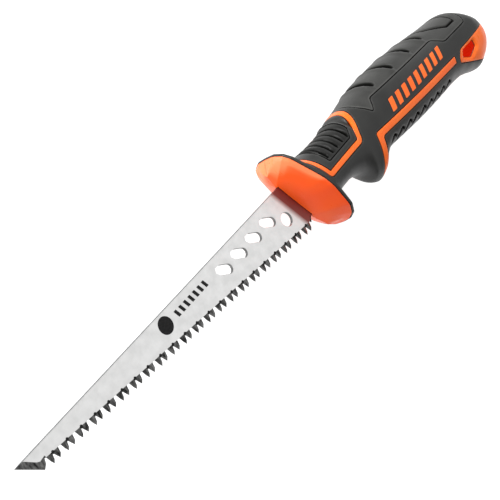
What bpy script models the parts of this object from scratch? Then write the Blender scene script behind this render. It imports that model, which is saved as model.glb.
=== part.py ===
"""Drywall saw (jab saw): one toothed steel blade held in a straight overmoulded handle.

The hard orange core is moulded in two halves that meet in the blade's middle plane and
clamp the tang. Soft black skin covers it and leaves bands of the core showing.

Lengths below are in millimetres and are turned into metres by MM.
Axes: +X runs along the blade to its tip, +Y points to the toothed edge, +Z points out of
one flat side. Sizes are measured from the place where the blade leaves the guard, in the
blade's middle plane and on the handle's long axis. At the end the finished saw is moved so that
the middle of its length and height lies at the origin.
"""
import math

import bmesh
import bpy
from mathutils import Matrix, Vector

MM = 0.001
GAP = 0.3                     # clearance left between neighbouring pieces
SHARP_ANGLE = math.radians(28.0)

# Blade
BLADE_THICKNESS = 1.3
SPINE_Y = -8.0                # straight back edge of the blade
TIP_X = 148.3                 # far end of the spine
TIP_HEEL = (140.9, -1.1)      # lower end of the slanted, sharpened tip edge
FIRST_GULLET = ((139.5, -2.3), (138.9, -3.5))
PAIR_PITCH = 6.35             # two teeth per quarter inch, eight teeth to the inch
PAIR_COUNT = 22
FIRST_PAIR_X = 137.5
TOOTH_LINE_Y = 12.2           # height of the tooth tips at X = 0
TOOTH_LINE_TAPER = 0.0917     # the tooth tips close in on the spine towards the tip
TOOTH_PAIR = (                # distance along the line of tooth tips, depth below it
    (-0.6, 3.1), (0.1, 0.0), (1.35, 2.1), (2.4, 2.1), (3.25, 0.0), (4.5, 3.1))
HEEL_Y = 7.9                  # lower edge of the blade where it enters the guard
SPUR = ((-0.2, 9.0), (-0.8, 10.0), (-2.1, 7.9))   # last, single small tooth beside the guard
TANG_HALF_HEIGHT = 5.0
TANG_END_X = -62.0
SHOULDER_X = -4.5             # where the blade narrows to the tang, inside the guard
ROUND_HOLE = (8.1, 2.2, 2.6)  # x, y, radius
SLOT_COUNT = 4
SLOT_FIRST_X = 15.9
SLOT_PITCH = 9.22
SLOT_Y = -2.2
SLOT_HALF_LENGTH = 3.7
SLOT_HALF_WIDTH = 1.75
SLOT_LEAN = (-0.86, 0.5)      # direction of a slot, towards its round end
SLOT_FLAT_SHARE = 0.45        # the other end is flat over this share of its width
PIN_X = (-20.0, -52.0)
PIN_RADIUS = 2.2
PIN_HALF_LENGTH = 5.5

# Guard
RAKE = 0.32                   # the guard leans back towards the toothed side
GUARD_RIM_X = -5.8            # rim plane where it crosses the handle axis
GUARD_RIM_THICKNESS = 1.3
GUARD_BEVEL = 0.9
GUARD_RIM = (                 # half of the rim, spine end to toothed end: y, z
    (-18.1, 0.0), (-17.9, 4.2), (-16.3, 7.7), (-13.8, 9.5), (-1.6, 13.1), (3.2, 13.1),
    (13.2, 10.3), (16.8, 7.2), (18.5, 3.7), (18.8, 0.0))
GUARD_RIDGE = (               # front ridge in the blade plane: x, y
    (2.6, -13.2), (2.4, -8.0), (-2.4, 7.8), (-6.6, 15.2))
GUARD_FRONT_X = 10.0          # clear of the whole guard

# Handle
SKIN = 2.6                    # thickness of the soft overmould on the hard core
INLAY = 1.3                   # thickness of the two textured inlays
RIB_DEPTH = 0.6
CORE_FRONT_X = -3.0           # the core's round body ends here, inside the guard
BUTT_CORE_X = -134.0
NUB_X = -40.5                 # middle of the finger hook below the handle
NUB_SPREAD = 5.0              # how far its blunt shape reaches along the handle
SIDE_POWER = 2.3              # 2 would be an ellipse, more is squarer
NUB_POWER = 1.7               # the finger hook narrows to a blunt point
RING_POINTS = 32
RIM_STRETCH = 1.3             # spreads the points of a ring evenly around the tall guard
CROWN = 0.30                  # the widest height is at the axis, or this far down a raised section

# x on the axis, rake, y of the spine side, y of the finger side, half width
STATIONS = (
    (-9.4, 0.32, -14.2, 13.9, 11.8),
    (-11.2, 0.32, -12.2, 11.2, 10.8),
    (-14.0, 0.30, -10.8, 9.9, 10.0),
    (-18.5, 0.20, -10.5, 9.4, 9.8),
    (-24.0, 0.10, -10.1, 9.3, 9.8),
    (-29.0, 0.03, -10.1, 10.0, 9.8),
    (-33.0, 0.0, -10.4, 11.2, 10.0),
    (-35.5, 0.0, -10.8, 13.5, 10.2),
    (-37.8, 0.0, -11.2, 17.9, 10.3),
    (-41.0, 0.0, -11.5, 19.2, 10.6),
    (-44.0, 0.0, -11.7, 18.3, 10.9),
    (-47.5, 0.0, -12.0, 14.6, 11.4),
    (-52.0, 0.0, -12.6, 12.9, 11.9),
    (-62.0, 0.0, -13.7, 13.5, 12.8),
    (-76.0, 0.0, -13.6, 14.4, 13.3),
    (-89.0, 0.0, -12.6, 14.8, 13.0),
    (-101.0, 0.0, -11.3, 14.9, 12.5),
    (-111.0, 0.0, -10.0, 15.6, 12.1),
    (-117.5, 0.05, -9.4, 17.5, 11.8),
    (-122.0, 0.10, -9.0, 19.2, 11.3),
    (-126.5, 0.16, -6.6, 17.8, 10.6),
    (-130.8, 0.22, -2.9, 15.3, 9.0),
    (-134.0, 0.25, 0.8, 12.4, 6.6),
    (-135.6, 0.27, 3.2, 9.8, 3.8),
)
NECK_STATION = 2              # first station behind the flange
CORE_END_STATION = -3         # last station the hard core reaches
LIP_BACK_X = -8.6             # back of the soft lip behind the guard, on the handle axis
LIP_SCALE = 1.0               # size of the lip against the guard's rim

# Bands of hard core that show through the overmould, as seen from the side: x, y
LOOP_LINE = ((-7.0, -16.5), (-13.4, 0.9), (-35.2, 0.3), (-36.4, -2.8), (-45.0, -17.0))
LOOP_WIDTH = 2.3
STRIPE_LINE = ((-103.8, 6.9), (-44.6, 4.3), (-42.8, 22.0))
STRIPE_WIDTH = 2.9
BEZEL = ((-109.5, 5.4), (-107.0, 8.0), (-107.0, 10.0), (-124.0, 17.0), (-142.0, 17.5), (-142.0, 5.4))
HANG_HOLE = ((-111.5, 7.0), (-110.3, 9.2), (-116.2, 12.4), (-121.0, 9.9), (-121.0, 7.1))
THUMB_INLAY = ((-15.0, -16.0), (-17.2, -2.8), (-32.6, -3.0), (-34.2, -5.5), (-34.2, -16.0))
PANEL = (
    (-43.5, -18.0), (-45.3, -9.3), (-49.0, -3.6), (-52.6, -8.1), (-97.7, -6.3),
    (-103.7, -1.8), (-121.9, -1.2), (-122.8, -4.0), (-121.0, -18.0))

PAST_SPINE_Y = -20.0          # clear of the handle on its spine side
PAST_BELLY_Y = 24.0           # clear of the handle on its finger side

THUMB_GROOVES_X = (-17.4, -20.0, -23.6, -27.2, -30.8, -33.2)
THUMB_GROOVE_WIDTH = 0.9
THUMB_GROOVE_END_Y = -4.0
CHEVRON_X = (-58.6, -71.8, -85.0, -96.3)
CHEVRON_WIDTH = 1.9
CHEVRON_SWEEP = 0.6
CHEVRON_END_Y = -10.6
BELLY_RIB_COUNT = 9
BELLY_RIB_FIRST_X = -52.6
BELLY_RIB_PITCH = 5.4
BELLY_RIB_WIDTH = 1.4
BELLY_RIB_SWEEP = 4.6
BELLY_RIB_END_Y = 6.0         # where the ribs' upper ends would meet X = 0
BELLY_RIB_END_SLOPE = 0.049   # the ends follow the belly, which is lower towards the butt
PRISM_HALF_DEPTH = 30.0
SAW_REACH = 200.0             # clear of the whole saw


def clear_scene():
    for old in list(bpy.data.objects):
        bpy.data.objects.remove(old, do_unlink=True)


def material(name, colour, roughness, metallic=0.0):
    made = bpy.data.materials.new(name)
    made.use_nodes = True
    shader = made.node_tree.nodes["Principled BSDF"]
    shader.inputs["Base Color"].default_value = (*colour, 1.0)
    shader.inputs["Roughness"].default_value = roughness
    shader.inputs["Metallic"].default_value = metallic
    return made


def hard_orange(name):
    return material(name, (0.95, 0.13, 0.02), 0.35)


def soft_black(name):
    return material(name, (0.035, 0.036, 0.034), 0.62)


def soft_grey(name):
    return material(name, (0.075, 0.076, 0.072), 0.68)


def ground_steel(name):
    return material(name, (0.62, 0.62, 0.61), 0.32, 1.0)


def shade(target):
    """Smooth shading with sharp edges where faces meet at a clear angle."""
    target.data.shade_smooth()
    target.data.set_sharp_from_angle(angle=SHARP_ANGLE)


def add_object(name, mesh_builder, look=None):
    """Turn a bmesh given in millimetres into an object in metres."""
    for vertex in mesh_builder.verts:
        vertex.co *= MM
    bmesh.ops.recalc_face_normals(mesh_builder, faces=mesh_builder.faces)
    mesh = bpy.data.meshes.new(name)
    mesh_builder.to_mesh(mesh)
    mesh_builder.free()
    made = bpy.data.objects.new(name, mesh)
    bpy.context.scene.collection.objects.link(made)
    if look is not None:
        mesh.materials.append(look)
    return made


def loft(rings):
    """Skin a row of closed rings of equal length and close both ends."""
    built = bmesh.new()
    rows = [[built.verts.new(point) for point in ring] for ring in rings]
    for row, following in zip(rows, rows[1:]):
        count = len(row)
        for i in range(count):
            j = (i + 1) % count
            built.faces.new((row[i], row[j], following[j], following[i]))
    built.faces.new(rows[0])
    built.faces.new(list(reversed(rows[-1])))
    bmesh.ops.recalc_face_normals(built, faces=built.faces)
    bmesh.ops.triangulate(built, faces=built.faces)
    return built


def prism(outline, low=-PRISM_HALF_DEPTH, high=PRISM_HALF_DEPTH):
    """Upright prism over an outline given as x, y."""
    bottom = [(x, y, low) for x, y in outline]
    top = [(x, y, high) for x, y in outline]
    return loft([bottom, top])


def block(low, high):
    (x0, y0, z0), (x1, y1, z1) = low, high
    return prism(((x0, y0), (x1, y0), (x1, y1), (x0, y1)), z0, z1)


def rod(x, y, radius, half_length, points=24):
    outline = arc(x, y, radius, 0.0, 360.0, points, closed=True)
    return prism(outline, -half_length, half_length)


def arc(x, y, radius, start, end, points, closed=False):
    """Points on a circle from one angle to another, in degrees."""
    steps = points if closed else points - 1
    angles = [math.radians(start + (end - start) * i / steps) for i in range(points)]
    return [(x + radius * math.cos(a), y + radius * math.sin(a)) for a in angles]


def offset_outline(outline, distance):
    """Move every side of a closed outline outwards by the same distance."""
    count = len(outline)
    area = sum(outline[i][0] * outline[(i + 1) % count][1]
               - outline[(i + 1) % count][0] * outline[i][1] for i in range(count))
    turn = 1.0 if area > 0 else -1.0
    moved = []
    for i in range(count):
        here = Vector(outline[i])
        before = (here - Vector(outline[i - 1])).normalized()
        after = (Vector(outline[(i + 1) % count]) - here).normalized()
        normal_before = Vector((before.y, -before.x)) * turn
        normal_after = Vector((after.y, -after.x)) * turn
        mitre = (normal_before + normal_after).normalized()
        moved.append(tuple(here + mitre * (distance / mitre.dot(normal_after))))
    return moved


def side_line(line, shift):
    """An open line moved sideways, to the left of its direction when the shift is positive."""
    points = [Vector(point) for point in line]
    moved = []
    for i, here in enumerate(points):
        before = (here - points[max(i - 1, 0)]).normalized()
        after = (points[min(i + 1, len(points) - 1)] - here).normalized()
        before = before if i > 0 else after
        after = after if i < len(points) - 1 else before
        normal_before = Vector((-before.y, before.x))
        normal_after = Vector((-after.y, after.x))
        mitre = (normal_before + normal_after).normalized()
        moved.append(tuple(here + mitre * (shift / mitre.dot(normal_after))))
    return moved


def band_outline(line, width):
    """Outline of a band of even width around an open line."""
    return side_line(line, width / 2) + side_line(line, -width / 2)[::-1]


def combine(target, cutter, operation):
    """Boolean the target with a helper object, then drop the helper."""
    modifier = target.modifiers.new("combine", "BOOLEAN")
    modifier.operation = operation
    modifier.solver = "EXACT"
    modifier.object = cutter
    graph = bpy.context.evaluated_depsgraph_get()
    result = bpy.data.meshes.new_from_object(target.evaluated_get(graph))
    target.modifiers.clear()
    old = target.data
    looks = [slot.material for slot in target.material_slots]
    target.data = result
    target.data.materials.clear()
    for look in looks:
        target.data.materials.append(look)
    bpy.data.meshes.remove(old)
    bpy.data.objects.remove(cutter, do_unlink=True)


def cut(target, builder):
    combine(target, add_object("cutter", builder), "DIFFERENCE")


def keep(target, builder):
    combine(target, add_object("keeper", builder), "INTERSECT")


def join(target, builder):
    combine(target, add_object("addition", builder), "UNION")


def ring_angles():
    """Directions of a ring's points; two of them straddle each flank, so it is flat to lie on."""
    return [2.0 * math.pi * (i + 0.5) / RING_POINTS for i in range(RING_POINTS)]


def section(x, rake, top, bottom, half_width):
    """One closed ring around the handle."""
    nearness = math.exp(-((x - NUB_X) / NUB_SPREAD) ** 2)
    lower_power = SIDE_POWER - (SIDE_POWER - NUB_POWER) * nearness
    crown = max(0.0, top + CROWN * (bottom - top))
    ring = []
    for angle in ring_angles():
        across, along = math.cos(angle), math.sin(angle)
        power = lower_power if along > 0 else SIDE_POWER
        reach = bottom if along > 0 else top
        z = half_width * math.copysign(abs(across) ** (2.0 / power), across)
        y = crown + (reach - crown) * abs(along) ** (2.0 / power)
        ring.append((x - rake * y, y, z))
    return ring


def full_rim():
    """The guard's rim all the way round, as y, z."""
    return list(GUARD_RIM) + [(y, -z) for y, z in reversed(GUARD_RIM[1:-1])]


def rim_section(x):
    """A ring around the handle that follows the guard's rim."""
    rim = [Vector(point) for point in full_rim()]
    ring = []
    for angle in ring_angles():
        ray = Vector((RIM_STRETCH * math.sin(angle), math.cos(angle)))
        for start, end in zip(rim, rim[1:] + rim[:1]):
            side = end - start
            turn = ray.cross(side)
            if abs(turn) < 1e-9:
                continue
            reach = start.cross(side) / turn
            share = start.cross(ray) / turn
            if reach > 0.0 and -1e-6 <= share <= 1.0 + 1e-6:
                point = ray * (reach * LIP_SCALE)
                ring.append((x - RAKE * point.x, point.x, point.y))
                break
    return ring


def outer_rings():
    """Rings of the whole handle: the lip behind the guard, then every station."""
    lip = [rim_section(GUARD_RIM_X - GUARD_RIM_THICKNESS - GAP), rim_section(LIP_BACK_X)]
    return lip + body_rings()


def body_rings():
    return [section(*station) for station in STATIONS]


def inset_station(station, inset):
    x, rake, top, bottom, half_width = station
    return x, rake, top + inset, bottom - inset, half_width - inset


def inner_rings(inset, front_x):
    """The handle's shape drawn inwards, without the flange, from the guard to the butt."""
    shrunk = [inset_station(station, inset) for station in STATIONS[NECK_STATION:CORE_END_STATION]]
    front = (front_x, RAKE) + shrunk[0][2:]
    back = (BUTT_CORE_X + inset,) + inset_station(STATIONS[CORE_END_STATION], inset)[1:]
    return [section(*ring) for ring in [front] + shrunk + [back]]


def inset_handle(depth):
    """The handle's outer shape drawn inwards by the given depth all round."""
    return loft([section(*inset_station(station, depth)) for station in STATIONS[:-1]])


def inlay(name, outline, look):
    """Outer layer of the handle inside an outline seen from the side."""
    layer = add_object(name, loft(body_rings()), look)
    keep(layer, prism(outline))
    cut(layer, inset_handle(INLAY))
    return layer


def recess(target, outline, depth):
    """Sink an area of the handle's surface, inside an outline seen from the side."""
    cutter = add_object("recess", prism(outline))
    cut(cutter, inset_handle(depth))
    combine(target, cutter, "DIFFERENCE")


def tooth_tip(distance):
    """Point on the line of tooth tips, measured from the first tip towards the guard."""
    x = FIRST_PAIR_X - distance / math.hypot(1.0, TOOTH_LINE_TAPER)
    return Vector((x, TOOTH_LINE_Y - TOOTH_LINE_TAPER * x))


def teeth_outline():
    """Pairs of teeth from the tip of the blade to the guard."""
    outline = []
    for pair in range(PAIR_COUNT):
        for along, depth in TOOTH_PAIR:
            point = tooth_tip(pair * PAIR_PITCH + along)
            outline.append((point.x, point.y - depth))
    return outline


def blade_outline():
    outline = [(TANG_END_X, -TANG_HALF_HEIGHT), (SHOULDER_X, -TANG_HALF_HEIGHT), (SHOULDER_X, SPINE_Y)]
    outline += [(TIP_X, SPINE_Y), TIP_HEEL, *FIRST_GULLET]
    outline += teeth_outline()
    outline += [*SPUR, (SHOULDER_X, HEEL_Y)]
    outline += [(SHOULDER_X, TANG_HALF_HEIGHT), (TANG_END_X, TANG_HALF_HEIGHT)]
    return outline


def lightening_slot(x):
    """Slanted slot: round at the end nearer the guard, half a hexagon at the other."""
    lean = Vector(SLOT_LEAN)
    side = Vector((lean.y, -lean.x))
    centre = Vector((x, SLOT_Y))
    reach = SLOT_HALF_LENGTH - SLOT_HALF_WIDTH
    start = math.degrees(math.atan2(-side.y, -side.x))
    end = centre + lean * reach
    outline = arc(end.x, end.y, SLOT_HALF_WIDTH, start, start - 180.0, 9)
    flat = SLOT_FLAT_SHARE
    for forward, across in ((reach, 1.0), (SLOT_HALF_LENGTH, flat), (SLOT_HALF_LENGTH, -flat), (reach, -1.0)):
        outline.append(tuple(centre - lean * forward + side * (across * SLOT_HALF_WIDTH)))
    return outline


def build_blade():
    blade = add_object("blade", prism(blade_outline(), -BLADE_THICKNESS / 2, BLADE_THICKNESS / 2),
                       ground_steel("blade_steel"))
    x, y, radius = ROUND_HOLE
    cut(blade, rod(x, y, radius, PRISM_HALF_DEPTH))
    for i in range(SLOT_COUNT):
        cut(blade, prism(lightening_slot(SLOT_FIRST_X + SLOT_PITCH * i)))
    for x in PIN_X:
        cut(blade, rod(x, 0.0, PIN_RADIUS + GAP, PRISM_HALF_DEPTH))


def build_pins():
    for name, x in zip(("tang_pin_front", "tang_pin_rear"), PIN_X):
        add_object(name, rod(x, 0.0, PIN_RADIUS, PIN_HALF_LENGTH), ground_steel(name + "_steel"))


def guard_builder():
    """Convex shield: a ridge in front, a rim around it and a flat back."""
    built = bmesh.new()
    for y, z in full_rim():
        rim_x = GUARD_RIM_X - RAKE * y
        inward = 1.0 - GUARD_BEVEL / math.hypot(y, z)
        built.verts.new((rim_x, y * inward, z * inward))
        built.verts.new((rim_x - GUARD_BEVEL, y, z))
        built.verts.new((rim_x - GUARD_RIM_THICKNESS, y, z))
    for x, y in GUARD_RIDGE:
        built.verts.new((x, y, 0.0))
    bmesh.ops.convex_hull(built, input=built.verts)
    return built


def tang_pocket():
    half = BLADE_THICKNESS / 2 + GAP
    tang = block((TANG_END_X - GAP, -TANG_HALF_HEIGHT - GAP, -half),
                 (GUARD_FRONT_X, TANG_HALF_HEIGHT + GAP, half))
    mouth = block((SHOULDER_X - GAP, SPINE_Y - GAP, -half), (GUARD_FRONT_X, HEEL_Y + GAP, half))
    return tang, mouth


def build_core_halves():
    core = add_object("core", loft(inner_rings(SKIN, CORE_FRONT_X)))
    join(core, guard_builder())
    bands = add_object("bands", loft(body_rings()[1:]))
    windows = add_object("windows", prism(band_outline(LOOP_LINE, LOOP_WIDTH)))
    join(windows, prism(band_outline(STRIPE_LINE, STRIPE_WIDTH)))
    join(windows, prism(BEZEL))
    combine(bands, windows, "INTERSECT")
    combine(core, bands, "UNION")
    cut(core, prism(HANG_HOLE))
    for pocket in tang_pocket():
        cut(core, pocket)
    for x in PIN_X:
        cut(core, rod(x, 0.0, PIN_RADIUS + GAP, PIN_HALF_LENGTH + GAP))
    for name, side in (("core_near", 1.0), ("core_far", -1.0)):
        half = core.copy()
        half.data = core.data.copy()
        half.name = name
        bpy.context.scene.collection.objects.link(half)
        half.data.materials.append(hard_orange(name + "_orange"))
        low, high = sorted((side * GAP / 2, side * SAW_REACH))
        keep(half, block((-SAW_REACH, -SAW_REACH, low), (SAW_REACH, SAW_REACH, high)))
    bpy.data.objects.remove(core, do_unlink=True)


def groove_outline(x, low_y, high_y, width, lean):
    """Slanted groove between two heights; lean is its shift in x over that height."""
    half = width / 2
    return ((x - half, low_y), (x + half, low_y), (x + lean + half, high_y), (x + lean - half, high_y))


def build_grip():
    grip = add_object("grip", loft(outer_rings()), soft_black("grip_black"))
    cut(grip, loft(inner_rings(SKIN - GAP, 0.0)))
    cut(grip, prism(side_line(LOOP_LINE, -(LOOP_WIDTH / 2 + GAP))))
    cut(grip, prism(band_outline(STRIPE_LINE, STRIPE_WIDTH + 2 * GAP)))
    cut(grip, prism(offset_outline(BEZEL, GAP)))
    recess(grip, offset_outline(PANEL, GAP), INLAY + GAP)
    for i in range(BELLY_RIB_COUNT):
        x = BELLY_RIB_FIRST_X - BELLY_RIB_PITCH * i
        end_y = BELLY_RIB_END_Y - BELLY_RIB_END_SLOPE * x
        recess(grip, groove_outline(x, end_y, PAST_BELLY_Y, BELLY_RIB_WIDTH, BELLY_RIB_SWEEP), RIB_DEPTH)


def build_thumb_pad():
    pad = add_object("thumb_pad", loft(body_rings()), soft_black("thumb_pad_black"))
    keep(pad, prism(side_line(LOOP_LINE, LOOP_WIDTH / 2 + GAP)))
    cut(pad, loft(inner_rings(SKIN - GAP, 0.0)))
    recess(pad, offset_outline(THUMB_INLAY, GAP), INLAY + GAP)


def build_thumb_inlay():
    ribs = inlay("thumb_inlay", THUMB_INLAY, soft_grey("thumb_inlay_grey"))
    for x in THUMB_GROOVES_X:
        recess(ribs, groove_outline(x, PAST_SPINE_Y, THUMB_GROOVE_END_Y, THUMB_GROOVE_WIDTH, 0.0), RIB_DEPTH)


def build_top_panel():
    panel = inlay("top_panel", PANEL, soft_grey("top_panel_grey"))
    for x in CHEVRON_X:
        groove = groove_outline(x, PAST_SPINE_Y, CHEVRON_END_Y, CHEVRON_WIDTH, CHEVRON_SWEEP)
        recess(panel, groove, RIB_DEPTH)


def centre_saw():
    """Move every piece so that the middle of the saw's length and height lies at the origin."""
    places = [vertex.co for piece in bpy.data.objects for vertex in piece.data.vertices]
    middle_x = (min(place.x for place in places) + max(place.x for place in places)) / 2
    middle_y = (min(place.y for place in places) + max(place.y for place in places)) / 2
    shift = Matrix.Translation((-middle_x, -middle_y, 0.0))
    for piece in bpy.data.objects:
        piece.data.transform(shift)


def main():
    clear_scene()
    build_blade()
    build_pins()
    build_core_halves()
    build_grip()
    build_thumb_pad()
    build_thumb_inlay()
    build_top_panel()
    centre_saw()
    for piece in bpy.data.objects:
        shade(piece)


main()
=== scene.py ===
"""Looks of the drywall saw: fine surface shapes, materials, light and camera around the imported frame.

Lengths are in millimetres along the frame's axes: +X along the blade to its tip, +Y towards the
teeth, +Z out of the near flat side. They are measured from the place where the blade leaves the
guard; ORIGIN is that place in the frame. The far side mirrors the near one, but for the set teeth.
"""
import math

import bmesh
import bpy
import numpy as np
from mathutils import Matrix, Vector
from mathutils.geometry import delaunay_2d_cdt
from mathutils.kdtree import KDTree


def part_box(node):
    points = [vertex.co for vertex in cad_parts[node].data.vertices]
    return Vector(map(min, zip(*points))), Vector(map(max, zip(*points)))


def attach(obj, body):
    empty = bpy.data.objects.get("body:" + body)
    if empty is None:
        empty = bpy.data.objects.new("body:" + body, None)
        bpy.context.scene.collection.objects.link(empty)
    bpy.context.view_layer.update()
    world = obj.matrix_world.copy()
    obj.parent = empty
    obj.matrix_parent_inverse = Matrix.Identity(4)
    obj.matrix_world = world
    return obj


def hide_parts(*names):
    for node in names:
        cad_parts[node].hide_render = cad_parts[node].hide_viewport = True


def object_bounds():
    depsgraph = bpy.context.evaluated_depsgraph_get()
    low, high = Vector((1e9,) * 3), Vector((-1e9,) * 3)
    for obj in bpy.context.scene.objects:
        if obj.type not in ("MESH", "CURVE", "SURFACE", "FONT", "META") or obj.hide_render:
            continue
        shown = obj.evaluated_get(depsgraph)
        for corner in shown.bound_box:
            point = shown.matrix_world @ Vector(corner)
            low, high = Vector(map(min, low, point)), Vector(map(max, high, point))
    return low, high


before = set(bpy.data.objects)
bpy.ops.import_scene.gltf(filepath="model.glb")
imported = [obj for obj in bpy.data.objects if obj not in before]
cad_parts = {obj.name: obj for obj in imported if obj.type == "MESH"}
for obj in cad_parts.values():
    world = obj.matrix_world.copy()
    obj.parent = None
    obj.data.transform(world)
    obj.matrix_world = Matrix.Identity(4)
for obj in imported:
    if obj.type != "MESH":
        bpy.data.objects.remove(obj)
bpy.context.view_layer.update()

MM = 0.001
TIP_X = 148.3                 # far end of the blade's spine
SPINE_Y = -8.0
BLADE_LOW, BLADE_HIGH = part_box("blade")
ORIGIN = Vector((BLADE_HIGH.x - TIP_X * MM, BLADE_LOW.y - SPINE_Y * MM, 0.0))
BLADE_HALF = BLADE_HIGH.z / MM
SHARP_ANGLE = math.radians(40.0)
BLADE_SHARP_ANGLE = math.radians(12.0)

# Handle: the sections of the frame, smoothed, and closed by a small dome at the butt.
# x on the axis, rake, y of the spine side, y of the finger side, half width
STATIONS = np.array((
    (-9.4, 0.32, -14.2, 13.9, 11.8),
    (-11.2, 0.32, -12.2, 11.2, 10.8),
    (-14.0, 0.30, -10.8, 9.9, 10.0),
    (-18.5, 0.20, -10.5, 9.4, 9.8),
    (-24.0, 0.10, -10.1, 9.3, 9.8),
    (-29.0, 0.03, -10.1, 10.0, 9.8),
    (-33.0, 0.0, -10.4, 11.2, 10.0),
    (-35.5, 0.0, -10.8, 13.5, 10.2),
    (-37.8, 0.0, -11.2, 17.9, 10.3),
    (-41.0, 0.0, -11.5, 19.2, 10.6),
    (-44.0, 0.0, -11.7, 18.3, 10.9),
    (-47.5, 0.0, -12.0, 14.6, 11.4),
    (-52.0, 0.0, -12.6, 12.9, 11.9),
    (-62.0, 0.0, -13.7, 13.5, 12.8),
    (-76.0, 0.0, -13.6, 14.4, 13.3),
    (-89.0, 0.0, -12.6, 14.8, 13.0),
    (-101.0, 0.0, -11.3, 14.9, 12.5),
    (-111.0, 0.0, -10.0, 15.6, 12.1),
    (-117.5, 0.05, -9.4, 17.5, 11.8),
    (-122.0, 0.10, -9.0, 19.2, 11.3),
    (-126.5, 0.16, -6.6, 17.8, 10.6),
    (-130.8, 0.22, -2.9, 15.3, 9.0),
    (-134.0, 0.25, 0.8, 12.4, 6.6),
    (-135.6, 0.27, 3.2, 9.8, 3.8),
    (-136.2, 0.27, 4.9, 8.1, 1.9),
    (-136.4, 0.27, 6.4, 6.6, 0.0),
))
NUB_X = -40.5                 # middle of the finger hook below the handle
SIDE_POWER = 2.3              # 2 would be an ellipse, more is squarer
NUB_POWER = 1.7
NUB_REACH = 5.0
CROWN = 0.30                  # the widest height is at the axis, or this far down a raised section
INSET_LIMIT = 0.6             # an inset takes at most this much of a section
SKIN = 2.2                    # thickness of the soft skin
CORE_DEPTH = 2.4              # depth of the core's plain body under the surface
BAND_DEPTH = 2.7              # the bands reach into the body
SEAM_RADIUS = 0.34            # rounding of every edge along a seam
HOLE_CHAMFER = 1.1
HOLE_WALL_REACH = 0.8         # walls this near the hole's outline take the hole wall's deeper red, with painted shade and a painted glow
BODY_SPAN = (-9.0, -131.4)    # front and rear of the core's plain body
BODY_RINGS = 60
BODY_RING_POINTS = 19
TANG_ROOM = 0.3               # gap round the tang in the body
HOLE_ROOM = 1.2               # the body's own hole is larger by this factor
PIN_POCKET_HALF = 5.8
THROUGH = 40.0                # half depth of a cut through the whole handle

# Guard
RAKE = 0.32
GUARD_RIM_X = -5.8
GUARD_RIM_THICKNESS = 1.3
GUARD_BEVEL = 1.3
GUARD_BULGE = 0.5
GUARD_BULGE_SIDEWAYS = 0.45
GUARD_BULGE_FROM_Z = 3.0      # the bulge fades towards the middle plane from here
GUARD_EDGE_SWELL = 0.12       # rounding in the middle of the bevel
GUARD_BACK_ROUNDING = 0.1
GUARD_BACK_SHARE = 0.985      # the back's flat face ends at this share of the rim
GUARD_RIM = ((-18.1, 0.0), (-17.9, 4.2), (-16.3, 7.7), (-13.8, 9.5), (-1.6, 13.1), (3.2, 13.1),
             (13.2, 10.3), (16.8, 7.2), (18.5, 3.7), (18.8, 0.0))
GUARD_RIDGE = ((2.6, -13.2), (2.4, -8.0), (-2.4, 7.8), (-6.6, 15.2))
RIDGE_LEAN = 0.304            # the ridge leans back by this much of its height where the blade leaves it
REFLECTION_REACH = (3.4, 5.6)     # the guard's reflection in the blade fades out between these distances
RIDGE_SHARE = (0, 0, 1, 1.1, 1.42, 1.6, 2, 2.4, 2.8, 3)     # place on the ridge facing each rim corner
LIP_FRONT_X = GUARD_RIM_X - GUARD_RIM_THICKNESS - 0.15
LIP_BACK_X = -8.6
LIP_SCALE = 1.02
LIP_BLEND = 1.2               # the handle's section turns into the lip over this length
PARTING = 0.06                # half the gap between the two halves of the core
SLOT_ROOM = 0.15              # gap round the blade in the guard's slot
BEHIND_GUARD_X, PAST_GUARD_X = -12.0, 10.0     # clear of the guard on its two sides
RIM_STEPS = 14                # columns of points between two corners of the rim
FACET_STEPS = 14              # points from the ridge to the rim
SOFTENING_PASSES = 8          # softens the creases between the facets, all but the sharp one
SHARP_CORNER = 2              # rim corner at which the sharp crease of the end facet starts

# Outlines on the handle's side: x, y
LOOP_LINE = ((-7.0, -16.5), (-13.4, 0.9), (-35.2, 0.3), (-36.4, -2.8), (-45.0, -17.0))
LOOP_WIDTH = 2.3
STRIPE_LINE = ((-103.8, 6.9), (-44.6, 4.3), (-42.8, 22.0))
STRIPE_WIDTH = 2.9
BEZEL = ((-109.5, 5.4), (-107.0, 8.0), (-107.0, 10.0), (-124.0, 17.0), (-142.0, 17.5), (-142.0, 5.4))
HANG_HOLE = ((-111.5, 7.0), (-110.3, 9.2), (-116.2, 12.4), (-121.0, 9.9), (-121.0, 7.1))
THUMB_INLAY = ((-13.7, -16.0), (-17.2, -2.8), (-32.3, -3.2), (-34.9, -6.4), (-35.1, -16.0))
PANEL = ((-43.5, -18.0), (-45.3, -9.3), (-49.0, -3.6), (-52.6, -8.1), (-97.7, -6.3),
         (-103.7, -1.8), (-121.9, -1.2), (-122.8, -4.0), (-121.0, -18.0))
PANEL_TONGUE = ((-100.5, -14.0), (-103.2, -10.1), (-111.9, -5.0), (-117.9, -4.7), (-118.5, -14.0))
THUMB_GROOVES_X = (-16.0, -18.0, -21.5, -25.0, -28.6, -32.2)
PAST_SPINE_Y = -15.0          # clear of the handle on its spine side
THUMB_GROOVE = ((0.0, -4.3), (0.2, -8.0), (0.3, PAST_SPINE_Y))
THUMB_GROOVE_END_Y = THUMB_GROOVE[0][1]
THUMB_RIB_DROP = 0.3          # the ribs between the grooves are rounded down by this much
LEDGE_X, DIP_X = -35.2, -37.2     # raised step at the rear of the thumb patch, and the dip behind it
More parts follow.
